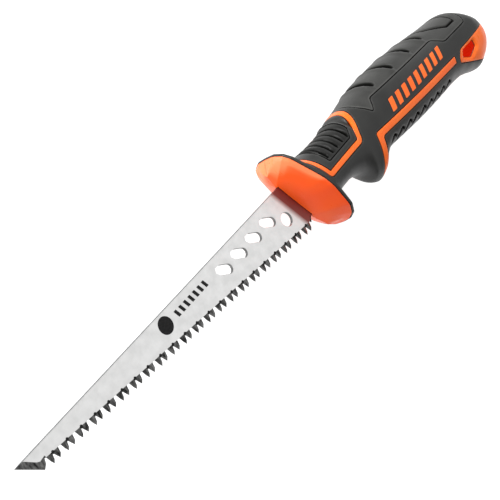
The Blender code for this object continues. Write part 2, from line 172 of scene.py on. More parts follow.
# Depth and half width of each kind of groove
SCOOP_SIZE = (1.2, 1.15)
TONGUE_SIZE = (0.8, 0.42)
THUMB_SIZE = (0.95, 0.42)
RIB_SIZE = (0.85, 0.42)
CHEVRONS = ((-58.3, -11.2), (-71.5, -10.7), (-84.7, -10.2), (-96.0, -9.9))   # side ends of the scoops
CHEVRON_HOOK = ((-0.8, 0.0), (-0.6, -1.0), (0.1, -2.2))
CHEVRON_SWEEP = 0.9
SCOOP_WALL_AWAY, SCOOP_WALL_HALF, SCOOP_WALL_HEIGHT = 2.2, 1.3, 0.3
# A rib of the belly from its upper end, which is a short hook
RIB_HOOK = ((-1.5, 0.9), (-0.8, 0.15), (0.0, 0.0), (1.2, 0.7), (2.4, 1.8), (3.4, 3.4), (4.0, 9.0))
RIB_COUNT = 9
RIB_FIRST_X = -52.6
RIB_PITCH = 5.4
RIB_TOP_Y = 6.7               # where the ribs' upper ends would meet X = 0
RIB_TOP_SLOPE = 0.049
# Slanted bars: count, first x, pitch, width, slant, y of their starts and ends
HANDLE_BARS = (9, -56.0, 4.75, 2.7, 1.6, 1.9, -3.0)
BLADE_BARS = (7, 70.6, 2.65, 1.3, 0.7, -5.2, -2.6)
BLADE_DISC = (76.2, -4.0, 3.1)    # x, y, radius
MARK_ROUNDING = 0.35
MARK_HEIGHT = 0.12
PRINT_HEIGHT = 0.015
PRINT_SINK = 0.05             # the print reaches this far into the steel
PIN_HOLE_POINTS, ROUND_HOLE_POINTS, DISC_POINTS, PIT_SHADE_POINTS = 24, 40, 48, 14

# Blade
TANG_END_X = -62.0
TANG_HALF = 5.0               # half the tang's height
SHOULDER_X = -4.5             # step from the tang to the blade, inside the guard
HEEL_Y = 7.9                  # the blade's toothed side behind its last tooth
PIN_X = (-20.0, -52.0)
PIN_HOLE_RADIUS = 2.5
TIP_HEEL = (TIP_X - 7.4, -1.1)
SPINE_END_X = TIP_X - 2.9     # the sharpened tip starts here
PAIR_PITCH = 6.35
PAIR_COUNT = 22
FIRST_PAIR_X = TIP_X - 10.8
TOOTH_LINE_Y = 12.2
TOOTH_LINE_TAPER = 0.0917
GULLET_DEPTH = 3.0
NOTCH_DEPTH = 2.3
ROOT_DEPTH = 3.15             # where the ground flanks of a tooth run out into the flat
TOOTH_EDGE = 0.12             # half thickness left at a ground edge
KEEN = 0.04                   # half thickness at a tooth's tip
TIP_KEEN = 0.06               # half thickness along the blade's sharpened tip
PIT_SHADE_PLACE, PIT_SHADE_DEPTH = 1.95, 0.75     # painted shade: place and depth of a black disc in the notch of each pair
PIT_SHADE_RADIUS, PIT_SHADE_HEIGHT = 0.55, 0.012
TOOTH_SET = 0.38              # tips lean out by this much, to alternate sides
EDGE_BREAK = 0.1
GROUND_FROM_X = -1.5
ROUND_HOLE = (8.1, 2.2, 2.6)  # x, y, radius
SLOT_COUNT = 4
SLOT_FIRST_X = 15.9
SLOT_PITCH = 9.22
SLOT_Y = -2.2
SLOT_HALF_LENGTH = 3.7
SLOT_HALF_WIDTH = 1.75
SLOT_LEAN = (-0.86, 0.5)      # direction of a slot's round end
SLOT_POINT_SHARE = 0.45       # the six-sided end's flat is this much of the slot's width
SLOT_END_STEPS = 14

# Fineness of the handle's mesh
GRID = 0.55
BORDER_CLEARANCE = 0.12       # grid points keep this far from the outlines
GRID_CLEARANCE = 0.45
OUTLINE_STEP = 0.4
TRACE_STEP = 0.05
SEAM_ROWS = (0.04, 0.13, 0.28)    # distances of the rows of points that follow each seam
ANGLE_MM = 13.5               # length that one radian of a section stands for in the flat layout
EDGE_ANGLE = math.pi / 2


# ---------------------------------------------------------------- plane geometry

def side_line(line, shift):
    """An open line moved sideways, to the left of its direction when the shift is positive."""
    points = [Vector(point) for point in line]
    moved = []
    for i, here in enumerate(points):
        before = (here - points[max(i - 1, 0)]).normalized()
        after = (points[min(i + 1, len(points) - 1)] - here).normalized()
        before = before if i > 0 else after
        after = after if i < len(points) - 1 else before
        normal_before = Vector((-before.y, before.x))
        normal_after = Vector((-after.y, after.x))
        mitre = (normal_before + normal_after).normalized()
        moved.append(tuple(here + mitre * (shift / mitre.dot(normal_after))))
    return moved


def rounded(outline, radius, closed=True):
    """Replace each corner of an outline by a short curve that starts a radius away from it."""
    points = [Vector(point) for point in outline]
    result = []
    for i, corner in enumerate(points):
        if not closed and i in (0, len(points) - 1):
            result.append(tuple(corner))
            continue
        before = points[i - 1] - corner
        after = points[(i + 1) % len(points)] - corner
        reach = min(radius, before.length * 0.45, after.length * 0.45)
        start = corner + before.normalized() * reach
        end = corner + after.normalized() * reach
        for share in (0.0, 0.25, 0.5, 0.75, 1.0):
            result.append(tuple(start.lerp(corner, share).lerp(corner.lerp(end, share), share)))
    return result


def band_outline(line, width, radius):
    """Outline of a band of even width around an open line, rounded at the line's bends."""
    left, right = (rounded(side_line(line, side * width / 2), radius, closed=False) for side in (1, -1))
    return left + right[::-1]


def walk(line, step, closed):
    """Points at about even steps along a line, corners kept."""
    corners = list(line) + ([line[0]] if closed else [])
    points = []
    for start, end in zip(corners, corners[1:]):
        count = max(1, round(math.dist(start, end) / step))
        for i in range(count):
            points.append(tuple(np.add(start, np.subtract(end, start) * (i / count))))
    return points if closed else points + [tuple(corners[-1])]


def rectangle(low_x, low_y, high_x, high_y):
    return [(low_x, low_y), (high_x, low_y), (high_x, high_y), (low_x, high_y)]


def circle(x, y, radius, count):
    return [(x + radius * math.cos(2 * math.pi * i / count), y + radius * math.sin(2 * math.pi * i / count))
            for i in range(count)]


def scaled(outline, factor):
    """An outline drawn larger or smaller about its middle."""
    middle = np.mean(outline, axis=0)
    return [tuple(middle + (np.array(point) - middle) * factor) for point in outline]


def tree_of(points):
    """A search tree over points with two or three coordinates."""
    tree = KDTree(len(points))
    for i, point in enumerate(points):
        tree.insert((*point, 0.0)[:3], i)
    tree.balance()
    return tree


def triangulated(points, edges, tolerance):
    """Points and triangles of a flat layout whose edges are kept."""
    result = delaunay_2d_cdt([Vector(point) for point in points], edges, [], 0, tolerance)
    faces = [face for face in result[2] if len(face) == 3]
    return np.array([tuple(point) for point in result[0]]), np.array(faces)


def inside(points, outline):
    """Which of the points lie inside a closed outline."""
    x, y = points[:, 0], points[:, 1]
    result = np.zeros(len(points), bool)
    for (x0, y0), (x1, y1) in zip(outline, list(outline[1:]) + [outline[0]]):
        if y0 != y1:
            crosses = ((y0 > y) != (y1 > y)) & (x < (x1 - x0) * (y - y0) / (y1 - y0) + x0)
            result ^= crosses
    return result


def distance_to_line(points, line):
    """Distance of each point from an open line of straight pieces."""
    best = np.full(len(points), 1e9)
    for start, end in zip(line, line[1:]):
        start, along = np.array(start), np.subtract(end, start)
        share = np.clip(((points - start) @ along) / (along @ along), 0.0, 1.0)
        best = np.minimum(best, np.linalg.norm(points - start - share[:, None] * along, axis=1))
    return best


def bell(distance, width, power=2):
    """Falls from 1 to nothing around a distance of 0, with a flatter top for a higher power."""
    return np.exp(-np.abs(distance / width) ** power)


def smoothstep(value):
    value = np.clip(value, 0.0, 1.0)
    return value * value * (3.0 - 2.0 * value)


# ---------------------------------------------------------------- handle surface

def monotone_curve(knots, values):
    """A function that runs smoothly through the values without overshooting them."""
    step = np.diff(knots)
    rise = np.diff(values) / step
    slope = np.zeros(len(knots))
    turning = rise[1:] * rise[:-1] <= 0.0
    mean = 2.0 * rise[1:] * rise[:-1] / np.where(turning, 1.0, rise[1:] + rise[:-1])
    slope[1:-1] = np.where(turning, 0.0, mean)
    slope[0], slope[-1] = rise[0], rise[-1]

    def curve(at):
        at = np.clip(at, knots[0], knots[-1])
        k = np.clip(np.searchsorted(knots, at) - 1, 0, len(step) - 1)
        s = (at - knots[k]) / step[k]
        return (values[k] * (1 + 2 * s) * (1 - s) ** 2 + step[k] * slope[k] * s * (1 - s) ** 2
                + values[k + 1] * s * s * (3 - 2 * s) + step[k] * slope[k + 1] * s * s * (s - 1))
    return curve


SECTION_CURVES = [monotone_curve(-STATIONS[:, 0], STATIONS[:, column]) for column in range(1, 5)]


def section_shape(u, lower):
    """Rake, crown, reach, half width and power of the sections at stations u."""
    rake, top, bottom, half_width = (curve(-u) for curve in SECTION_CURVES)
    crown = np.maximum(0.0, top + CROWN * (bottom - top))
    nub = (SIDE_POWER - NUB_POWER) * bell(u - NUB_X, NUB_REACH)
    power = np.where(lower, SIDE_POWER - nub, SIDE_POWER)
    return rake, crown, np.where(lower, bottom, top), half_width, power


RIM_TRACE = np.array(walk(GUARD_RIM, TRACE_STEP, closed=False))
RIM_ANGLES = np.arctan2(RIM_TRACE[:, 0], RIM_TRACE[:, 1])
RIM_REACHES = np.linalg.norm(RIM_TRACE, axis=1)


def handle(u, t, inset=0.0):
    """Points of the handle's near side at stations u and angles t, or drawn inwards by an inset."""
    rake, crown, reach, half_width, power = section_shape(u, t > 0)
    inset = np.minimum(inset, half_width * INSET_LIMIT)
    tall = reach - np.sign(t) * np.minimum(inset, np.abs(reach - crown) * INSET_LIMIT)
    y = crown + (tall - crown) * np.abs(np.sin(t)) ** (2.0 / power)
    z = (half_width - inset) * np.abs(np.cos(t)) ** (2.0 / power)
    z = np.where(np.abs(t) > EDGE_ANGLE - 1e-6, 0.0, z)
    if np.all(inset == 0.0):
        ring = np.arctan2(y, np.maximum(z, 1e-9))
        rim = np.interp(ring, RIM_ANGLES, RIM_REACHES) * LIP_SCALE
        lip = smoothstep((u - LIP_BACK_X) / LIP_BLEND + 1.0)
        y = y + (rim * np.sin(ring) - y) * lip
        z = z + (rim * np.cos(ring) - z) * lip * (z > 0.0)
    return np.stack((u - rake * y, y, z), axis=-1)


def station_of(points):
    """Station and angle of the handle's points that are seen at x, y from the side."""
    x, y = np.asarray(points, float).T
    u = x.copy()
    for _ in range(6):
        u = x + SECTION_CURVES[0](-u) * y
    _, crown, _, _, _ = section_shape(u, y > 0)
    _, crown, reach, _, power = section_shape(u, y > crown)
    share = np.clip((y - crown) / (reach - crown), 0.0, 1.0)
    angle = np.arcsin(share ** (power / 2.0)) * np.where(y > crown, 1.0, -1.0)
    return np.stack((u, angle), axis=-1)


def shifted(line, x, y=0.0):
    return [(x + along, y + down) for along, down in line]


THUMB_GROOVES = [shifted(THUMB_GROOVE, x) for x in THUMB_GROOVES_X]
CHEVRON_LINES = [shifted(CHEVRON_HOOK, x, y) + [(x + CHEVRON_SWEEP, PAST_SPINE_Y)] for x, y in CHEVRONS]
RIBS_X = [RIB_FIRST_X - RIB_PITCH * i for i in range(RIB_COUNT)]
BELLY_RIBS = [shifted(RIB_HOOK, x, RIB_TOP_Y - RIB_TOP_SLOPE * x) for x in RIBS_X]
GROOVES = THUMB_GROOVES + CHEVRON_LINES + BELLY_RIBS + [PANEL_TONGUE]


def groove(points, lines, depth, half_width, power=2):
    """Depth of grooves along a set of open lines."""
    away = np.min([distance_to_line(points, line) for line in lines], axis=0)
    return depth * bell(away, half_width, power)


def thumb_crowns(points):
    """Rounding of the ribs between the thumb patch's grooves, running out above its lower edge."""
    edges = np.array(THUMB_GROOVES_X[::-1])
    x = points[:, 0] - THUMB_GROOVE[1][0]
    k = np.clip(np.searchsorted(edges, x) - 1, 0, len(edges) - 2)
    share = np.clip((x - edges[k]) / (edges[k + 1] - edges[k]), 0.0, 1.0)
    crown = (4.0 * share * (1.0 - share)) ** 0.6
    fade = smoothstep((THUMB_GROOVE_END_Y - points[:, 1]) / 1.2)
    within = (x > edges[0]) & (x < edges[-1])
    return np.where(within, THUMB_RIB_DROP * fade * (1.0 - crown), 0.0)


def scoop_walls(points):
    """Swelling on the guard's side of each scoop of the top panel."""
    lift = np.zeros(len(points))
    for line in CHEVRON_LINES:
        away = distance_to_line(points, line)
        on_guard_side = smoothstep((points[:, 0] - line[0][0] - 0.3) / 0.8)
        lift = np.maximum(lift, on_guard_side * bell(away - SCOOP_WALL_AWAY, SCOOP_WALL_HALF))
    return -SCOOP_WALL_HEIGHT * lift


def ledge_lift(points):
    """The raised step at the rear of the thumb patch, with a dip behind it."""
    near_spine = smoothstep((-3.0 - points[:, 1]) / 5.0)
    dip = 0.75 * bell(points[:, 0] - DIP_X, 1.1)
    lift = 0.25 * bell(points[:, 0] - LEDGE_X, 0.8)
    return (lift - dip) * near_spine


def slanted_bars(count, first_x, pitch, width, slant, start_y, end_y):
    """Outlines of a row of plain slanted bars, which stand in place of lettering."""
    places = [first_x - pitch * i for i in range(count)]
    return [[(x, start_y), (x - width, start_y), (x - width - slant, end_y), (x - slant, end_y)]
            for x in places]


LOOP_ROUNDED = rounded(LOOP_LINE, 1.2, closed=False)
LOOP_OUTER = side_line(LOOP_ROUNDED, -LOOP_WIDTH / 2)
LOOP_INNER = side_line(LOOP_ROUNDED, LOOP_WIDTH / 2)
STRIPE = band_outline(STRIPE_LINE, STRIPE_WIDTH, 1.2)
OPEN_LINES = (LOOP_OUTER, LOOP_INNER)
BEZEL_LINE = rounded(BEZEL, 0.7)
HOLE_LINE = rounded(HANG_HOLE, 0.5)
HOLE_LOOP = HOLE_LINE + HOLE_LINE[:1]
THUMB_INLAY_LINE = rounded(THUMB_INLAY, 0.8)
PANEL_LINE = rounded(PANEL, 1.2)
CLOSED_LINES = (STRIPE, BEZEL_LINE, HOLE_LINE, THUMB_INLAY_LINE, PANEL_LINE)
MARKS = [rounded(bar, MARK_ROUNDING) for bar in slanted_bars(*HANDLE_BARS)]


class HandleSheet:
    """The near side of the handle laid flat, cut along every outline into triangles."""

    def __init__(self):
        self.front, self.back = LIP_FRONT_X, STATIONS[-1, 0]
        points, edges, traces = [], [], []
        lines = [(line, False, True) for line in OPEN_LINES]
        lines += [(line, True, True) for line in CLOSED_LINES]
        lines += [(line, True, False) for line in MARKS]
        lines += [(line, False, False) for line in GROOVES]
        for line, closed, is_seam in lines:
            for run in self.lay_flat(line, closed):
                even = self.even_steps(run)
                edges += [(len(points) + i, len(points) + i + 1) for i in range(len(even) - 1)]
                points += even
                if is_seam:
                    traces.append(run)
        points += self.filler_points(points, edges)
        self.flat, faces = triangulated(points, edges, 1e-5)
        self.u, self.t = self.flat[:, 0], np.clip(self.flat[:, 1] / ANGLE_MM, -EDGE_ANGLE, EDGE_ANGLE)
        self.on_middle = (np.abs(self.t) > EDGE_ANGLE - 1e-6) | (self.u < self.back + 1e-3)
        self.faces = faces[~self.on_middle[faces].all(axis=1)]
        self.base = handle(self.u, self.t)
        self.base[self.on_middle, 2] = 0.0
        self.label = self.label_faces()
        self.seam = self.seam_distance(np.concatenate(traces))
        self.hollow = self.groove_depth()
        depth = self.edge_drop() + self.swell_depth() + self.hollow
        self.top = self.base - self.normals() * depth[:, None]
        self.top[self.on_middle, 2] = 0.0

    def lay_flat(self, outline, closed):
        """Trace an outline in the flat layout, in runs that stay on the near side."""
        dense = walk(outline, TRACE_STEP, closed)
        u, t = station_of(dense).T
        on = (np.abs(t) < EDGE_ANGLE - 1e-3) & (u > self.back) & (u < self.front)
        flat = np.column_stack((np.clip(u, self.back, self.front), t * ANGLE_MM))
        if closed and on.all():
            return [np.concatenate((flat, flat[:1]))]
        if closed:
            turn = int(np.argmin(on))
            flat, on = np.roll(flat, -turn, axis=0), np.roll(on, -turn)
        runs, start = [], None
        for i, is_on in enumerate(on):
            if is_on and start is None:
                start = i
            if start is not None and (not is_on or i == len(on) - 1):
                runs.append(flat[max(start - 1, 0):i + 1])
                start = None
        return runs

    def even_steps(self, run):
        """Points at even steps along a traced run, measured on the handle's surface."""
        surface = handle(run[:, 0], run[:, 1] / ANGLE_MM)
        length = np.concatenate(([0.0], np.cumsum(np.linalg.norm(np.diff(surface, axis=0), axis=1))))
        at = np.linspace(0.0, length[-1], max(2, round(length[-1] / OUTLINE_STEP)) + 1)
        return [tuple(p) for p in np.column_stack([np.interp(at, length, run[:, i]) for i in (0, 1)])]

    def filler_points(self, fixed, edges):
        """An even grid that keeps clear of the outlines, and rows that follow the outlines closely."""
        tree = tree_of(fixed)
        half = EDGE_ANGLE * ANGLE_MM
        columns = round((self.front - self.back) / GRID)
        rows = round(2 * half / GRID)
        filler = []
        for i in range(columns + 1):
            u = self.front + (self.back - self.front) * i / columns
            for j in range(rows + 1):
                v = -half + 2 * half * j / rows
                border = i in (0, columns) or j in (0, rows)
                if tree.find((u, v, 0.0))[2] > (BORDER_CLEARANCE if border else GRID_CLEARANCE):
                    filler.append((u, v))
        for i, j in edges:
            start, along = Vector(fixed[i]), Vector(fixed[j]) - Vector(fixed[i])
            across = Vector((-along.y, along.x)).normalized()
            for away in SEAM_ROWS:
                for side in (-away, away):
                    point = start + along / 2 + across * side
                    if abs(point.y) < half - 0.05 and tree.find((point.x, point.y, 0.0))[2] > away * 0.9:
                        filler.append(tuple(point))
        return filler

    def normals(self):
        """Outward normal at each point, the average of the faces around it."""
        corners = self.base[self.faces]
        across = np.cross(corners[:, 1] - corners[:, 0], corners[:, 2] - corners[:, 0])
        across *= np.sign(across[:, 2].sum())
        normal = np.zeros_like(self.base)
        for i in range(3):
            np.add.at(normal, self.faces[:, i], across)
        normal[self.on_middle, 2] = 0.0
        return normal / np.maximum(np.linalg.norm(normal, axis=1), 1e-12)[:, None]

    def label_faces(self):
        """Name of the region each face belongs to, judged by its middle as seen from the side."""
        middle = self.flat[self.faces].mean(axis=1)
        seen = handle(middle[:, 0], middle[:, 1] / ANGLE_MM)[:, :2]
        label = np.full(len(self.faces), "grip", dtype="U8")
        for outline in MARKS:
            label[inside(seen, outline)] = "mark"
        label[inside(seen, LOOP_OUTER)] = "loop"
        label[inside(seen, LOOP_INNER)] = "pad"
        label[inside(seen, THUMB_INLAY_LINE) & (label == "pad")] = "inlay"
        label[inside(seen, PANEL_LINE)] = "panel"
        label[inside(seen, STRIPE)] = "stripe"
        label[inside(seen, BEZEL_LINE)] = "bezel"
        label[inside(seen, HOLE_LINE)] = "hole"
        return label

    def vertices_of(self, label):
        chosen = np.zeros(len(self.base), bool)
        chosen[self.faces[self.label == label].ravel()] = True
        return chosen

    def seam_distance(self, traces):
        """Distance over the surface from the nearest seam or from the lip's front edge."""
        tree = tree_of(handle(traces[:, 0], traces[:, 1] / ANGLE_MM))
        away = np.array([tree.find(point)[2] for point in self.base])
        return np.minimum(away, self.front - self.u)

    def groove_depth(self):
        """Depth of the narrow grooves and scoops at each point, which also sets their painted shade."""
        seen = self.base[:, :2]
        panel = groove(seen, CHEVRON_LINES, *SCOOP_SIZE, 4) + groove(seen, [PANEL_TONGUE], *TONGUE_SIZE)
        depth = np.where(self.vertices_of("panel"), panel, 0.0)
        depth += np.where(self.vertices_of("inlay"), groove(seen, THUMB_GROOVES, *THUMB_SIZE), 0.0)
        belly = self.vertices_of("grip") & (seen[:, 1] > 5.0)
        return depth + np.where(belly, groove(seen, BELLY_RIBS, *RIB_SIZE), 0.0)

    def swell_depth(self):
        """Broad, shallow shaping between the grooves."""
        seen = self.base[:, :2]
        depth = np.where(self.vertices_of("panel"), scoop_walls(seen), 0.0)
        return depth + np.where(self.vertices_of("inlay"), thumb_crowns(seen), 0.0)

    def edge_drop(self):
        """Rounding along the seams, the chamfer of the hang hole, the ledge and the raised marks."""
        seen = self.base[:, :2]
        reach = np.clip(SEAM_RADIUS - self.seam, 0.0, SEAM_RADIUS)
        drop = SEAM_RADIUS - np.sqrt(np.maximum(SEAM_RADIUS ** 2 - reach ** 2, 0.0))
        hole = distance_to_line(seen, HOLE_LOOP)
        drop += np.where(self.vertices_of("bezel"), np.clip(HOLE_CHAMFER - hole, 0.0, HOLE_CHAMFER), 0.0)
        drop -= np.where(self.vertices_of("pad"), ledge_lift(seen), 0.0)
        return drop - np.where(self.vertices_of("mark"), MARK_HEIGHT, 0.0)


# ---------------------------------------------------------------- making objects

NO_SEAM = 5.0                 # seam distance of pieces without seams
WELD = 1e-4


def link(name, data, looks=()):
    made = bpy.data.objects.new(name, data)
    bpy.context.scene.collection.objects.link(made)
    for look in looks:
        data.materials.append(look)
    return made


def in_frame(point):
    return ORIGIN + Vector(point) * MM


def mesh_from(name, points, faces, looks, face_slots=None, relief=None):
    """A closed object from points in millimetres.

    The relief holds each point's distance from a seam and its depth in a groove.
    """
    mesh = bpy.data.meshes.new(name)
    mesh.from_pydata([in_frame(p) for p in points], [], [[int(i) for i in face] for face in faces])
    if face_slots is not None:
        mesh.polygons.foreach_set("material_index", [int(slot) for slot in face_slots])
    if relief is None:
        relief = np.tile((NO_SEAM, 0.0), (len(points), 1))
    for column, title in enumerate(("seam", "hollow")):
        attribute = mesh.attributes.new(title, "FLOAT", "POINT")
        attribute.data.foreach_set("value", relief[:, column].copy())
    clean(mesh)
    mesh.shade_smooth()
    mesh.set_sharp_from_angle(angle=SHARP_ANGLE)
    return link(name, mesh, looks)


def clean(mesh):
    """Weld a mesh, drop faces that lie flat on each other, and turn its faces outwards."""
    built = bmesh.new()
    built.from_mesh(mesh)
    bmesh.ops.remove_doubles(built, verts=built.verts, dist=WELD * MM)
    bmesh.ops.dissolve_degenerate(built, edges=built.edges, dist=WELD * MM)
    bmesh.ops.triangulate(built, faces=built.faces)
    same_place = {}
    for face in built.faces:
        same_place.setdefault(frozenset(face.verts), []).append(face)
    folded = [face for faces in same_place.values() if len(faces) > 1 for face in faces]
    bmesh.ops.delete(built, geom=folded, context="FACES")
    bmesh.ops.recalc_face_normals(built, faces=built.faces)
    if built.calc_volume(signed=True) < 0.0:
        bmesh.ops.reverse_faces(built, faces=built.faces)
    built.to_mesh(mesh)
    built.free()


def inner_points(sheet, used, depth):
    """Points below the surface; they end short of the butt, so that the skin keeps its thickness."""
    share = (sheet.back + depth - sheet.front) / (sheet.back - sheet.front)
    u = sheet.front + (sheet.u[used] - sheet.front) * share
    points = handle(u, sheet.t[used], depth)
    points[sheet.on_middle[used], 2] = 0.0
    return points


def open_edges(faces):
    """Edges that only one of the triangles uses, each in that triangle's direction."""
    uses = {}
    for a, b, c in faces:
        for start, end in ((a, b), (b, c), (c, a)):
            uses.setdefault((min(start, end), max(start, end)), []).append((start, end))
    return [found[0] for found in uses.values() if len(found) == 1]


def two_sided(faces, count, edges):
    """Triangles, the same ones turned over on a second set of points, and walls over these edges."""
    walls = [(start, end, end + count, start + count) for start, end in edges]
    return [tuple(f) for f in faces] + [tuple(f[::-1] + count) for f in faces] + walls


def shell(sheet, label, depth, side, slots=(), closed_middle=False):
    """Shell over the faces with these labels: points, faces, slots, relief.

    Without a depth it reaches down to the middle plane.
    """
    chosen = np.isin(sheet.label, label)
    faces = sheet.faces[chosen]
    used = np.unique(faces)
    place = np.full(len(sheet.base), -1)
    place[used] = np.arange(len(used))
    top = sheet.top[used]
    bottom = top * [1, 1, 0] if depth is None else inner_points(sheet, used, depth)
    count = len(used)
    local = place[faces]
    middle = sheet.on_middle[used]
    left_open = depth is None or not closed_middle
    edges = [(start, end) for start, end in open_edges(local)
             if not (left_open and middle[start] and middle[end])]
    all_faces = two_sided(local, count, edges)
    face_slots = [slots.index(name) if name in slots else 0 for name in sheet.label[chosen]]
    face_slots += [0] * (len(all_faces) - len(face_slots))
    points = np.concatenate((top, bottom)) * [1, 1, side]
    relief = np.column_stack((sheet.seam[used], sheet.hollow[used]))
    return points, all_faces, face_slots, np.concatenate((relief, relief))


def merged(parts):
    """Put several sets of points, faces, slots and relief together."""
    points, faces, slots, reliefs, start = [], [], [], [], 0
    for part_points, part_faces, part_slots, relief in parts:
        points.append(part_points)
        faces += [tuple(index + start for index in face) for face in part_faces]
        slots += part_slots
        reliefs.append(relief)
        start += len(part_points)
    return np.concatenate(points), faces, slots, np.concatenate(reliefs)


def skin_piece(name, sheet, label, looks, slots=()):
    """A soft piece that runs over both sides of the handle."""
    parts = [shell(sheet, label, SKIN, side, slots) for side in (1, -1)]
    points, faces, face_slots, relief = merged(parts)
    return mesh_from(name, points, faces, looks, face_slots, relief)


def strip_faces(columns, rows):
    """Faces of a closed tube of points, column by column, with both ends closed."""
    faces = []
    for i in range(columns - 1):
        for j in range(rows):
            following = (j + 1) % rows
            here, there = i * rows, (i + 1) * rows
            faces.append((here + j, here + following, there + following, there + j))
    faces.append(tuple(range(rows)))
    faces.append(tuple(range((columns - 1) * rows, columns * rows))[::-1])
    return faces


def guard_half(name, side, look):
    """One half of the guard: facets from the front ridge to the rim, a bevel, and a flat back."""
    ridge = [Vector((x, y, 0.0)) for x, y in GUARD_RIDGE]
    columns = []
    last = len(GUARD_RIM) - 2
    for i in range(last + 1):
        for k in range(RIM_STEPS + (i == last)):
            share = k / RIM_STEPS
            y, z = Vector(GUARD_RIM[i]).lerp(Vector(GUARD_RIM[i + 1]), share)
            along = RIDGE_SHARE[i] + (RIDGE_SHARE[i + 1] - RIDGE_SHARE[i]) * share
            lower = min(int(along), len(ridge) - 2)
            columns.append(guard_column(ridge[lower].lerp(ridge[lower + 1], along - lower), y, z))
    grid = np.array(columns)
    sharp = SHARP_CORNER * RIM_STEPS
    crease = grid[sharp].copy()
    for _ in range(SOFTENING_PASSES):
        grid[1:-1] = grid[1:-1] * 0.5 + (grid[:-2] + grid[2:]) * 0.25
        grid[sharp] = crease
    grid[:, :, 2] += PARTING
    points = grid.reshape(-1, 3) * [1, 1, side]
    made = mesh_from(name, points, strip_faces(*grid.shape[:2]), [look])
    slot = rectangle(BEHIND_GUARD_X, SPINE_Y - SLOT_ROOM, PAST_GUARD_X, HEEL_Y + EDGE_BREAK)
    cut(made, slot, BLADE_HALF + SLOT_ROOM)
    return made


def guard_column(top, y, z):
    """Points from the ridge over one place of the rim to the guard's back."""
    rim_x = GUARD_RIM_X - RAKE * y
    inward = 1.0 - GUARD_BEVEL / math.hypot(y, z)
    front = Vector((rim_x, y * inward, z * inward))
    column = []
    for k in range(FACET_STEPS + 1):
        share = k / FACET_STEPS
        bulge = GUARD_BULGE * math.sin(math.pi * share) * min(1.0, z / GUARD_BULGE_FROM_Z)
        column.append(top.lerp(front, share) + Vector((bulge, 0.0, bulge * GUARD_BULGE_SIDEWAYS)))
    edge = Vector((rim_x - GUARD_BEVEL, y, z))
    column += [front.lerp(edge, 0.5) + Vector((GUARD_EDGE_SWELL, 0.0, 0.0)), edge]
    back_x = rim_x - GUARD_RIM_THICKNESS
    column.append(Vector((back_x + GUARD_BACK_ROUNDING, y, z)))
    column.append(Vector((back_x, y * GUARD_BACK_SHARE, z * GUARD_BACK_SHARE)))
    column.append(Vector((GUARD_RIM_X - RAKE * y / 2 - GUARD_RIM_THICKNESS, y / 2, 0.0)))
    return [tuple(point) for point in column]


def core_half(name, sheet, side, looks):
    """The plain body under the skin and the bands that show through it."""
    stations = np.linspace(*BODY_SPAN, BODY_RINGS)
    angles = np.linspace(-EDGE_ANGLE, EDGE_ANGLE, BODY_RING_POINTS)
    grid = np.array([handle(np.full(len(angles), u), angles, CORE_DEPTH) for u in stations])
    grid[:, :, 2] += PARTING
    body_points = grid.reshape(-1, 3) * [1, 1, side]
    body = mesh_from(name + "_body", body_points, strip_faces(*grid.shape[:2]), looks[:1])
    reach = TANG_HALF + TANG_ROOM
    cut(body, rectangle(TANG_END_X - TANG_ROOM, -reach, PAST_GUARD_X, reach), BLADE_HALF + TANG_ROOM)
    cut(body, scaled(HOLE_LINE, HOLE_ROOM), THROUGH)
    for x in PIN_X:
        cut(body, circle(x, 0.0, PIN_HOLE_RADIUS, PIN_HOLE_POINTS), PIN_POCKET_HALF)
    parts = [shell(sheet, [label], depth, side, closed_middle=True)
             for label, depth in (("loop", BAND_DEPTH), ("stripe", BAND_DEPTH), ("bezel", None))]
    points, faces, slots, relief = merged(parts)
    for i in range(len(faces)):
        middle = points[list(faces[i])].mean(axis=0)
        is_wall = len(faces[i]) == 4
        # walls of the hang hole take slot 1, a deeper red with painted shade and a painted glow
        if is_wall and distance_to_line(middle[None, :2], HOLE_LOOP)[0] < HOLE_WALL_REACH:
            slots[i] = 1
    points = points + [0, 0, side * PARTING / 2]
    return body, mesh_from(name + "_bands", points, faces, looks, slots, relief)


def cut(target, outline, half_depth):
    """Cut a prism over an outline out of an object."""
    cutter = plate("cutter", [outline], -half_depth, half_depth, None)
    modifier = target.modifiers.new("cut", "BOOLEAN")
    modifier.operation = "DIFFERENCE"
    modifier.solver = "EXACT"
    modifier.object = cutter
    graph = bpy.context.evaluated_depsgraph_get()
    result = bpy.data.meshes.new_from_object(target.evaluated_get(graph))
    clean(result)
    target.modifiers.clear()
    target.data = result
    result.set_sharp_from_angle(angle=SHARP_ANGLE)
    bpy.data.objects.remove(cutter, do_unlink=True)


# ---------------------------------------------------------------- blade

def tooth_point(distance, depth):
    """Point at a distance along the line of tooth tips, sunk from it by a depth."""
    x = FIRST_PAIR_X - distance / math.hypot(1.0, TOOTH_LINE_TAPER)
    return x, TOOTH_LINE_Y - TOOTH_LINE_TAPER * x - depth


def lightening_slot(x, grow=0.0):
    """Slanted slot: round at the end nearer the guard, half a hexagon at the other."""
    lean, side = Vector(SLOT_LEAN), Vector((SLOT_LEAN[1], -SLOT_LEAN[0]))
    centre = Vector((x, SLOT_Y))
    half_width, half_length = SLOT_HALF_WIDTH + grow, SLOT_HALF_LENGTH + grow
    reach = SLOT_HALF_LENGTH - SLOT_HALF_WIDTH
    outline = []
    for i in range(SLOT_END_STEPS + 1):
        angle = math.pi * i / SLOT_END_STEPS
        round_end = lean * math.sin(angle) - side * math.cos(angle)
        outline.append(centre + lean * reach + round_end * half_width)
    point = SLOT_POINT_SHARE
    for forward, across in ((reach, 1.0), (half_length, point), (half_length, -point), (reach, -1.0)):
        outline.append(centre - lean * forward + side * (across * half_width))
    return [tuple(point) for point in outline]


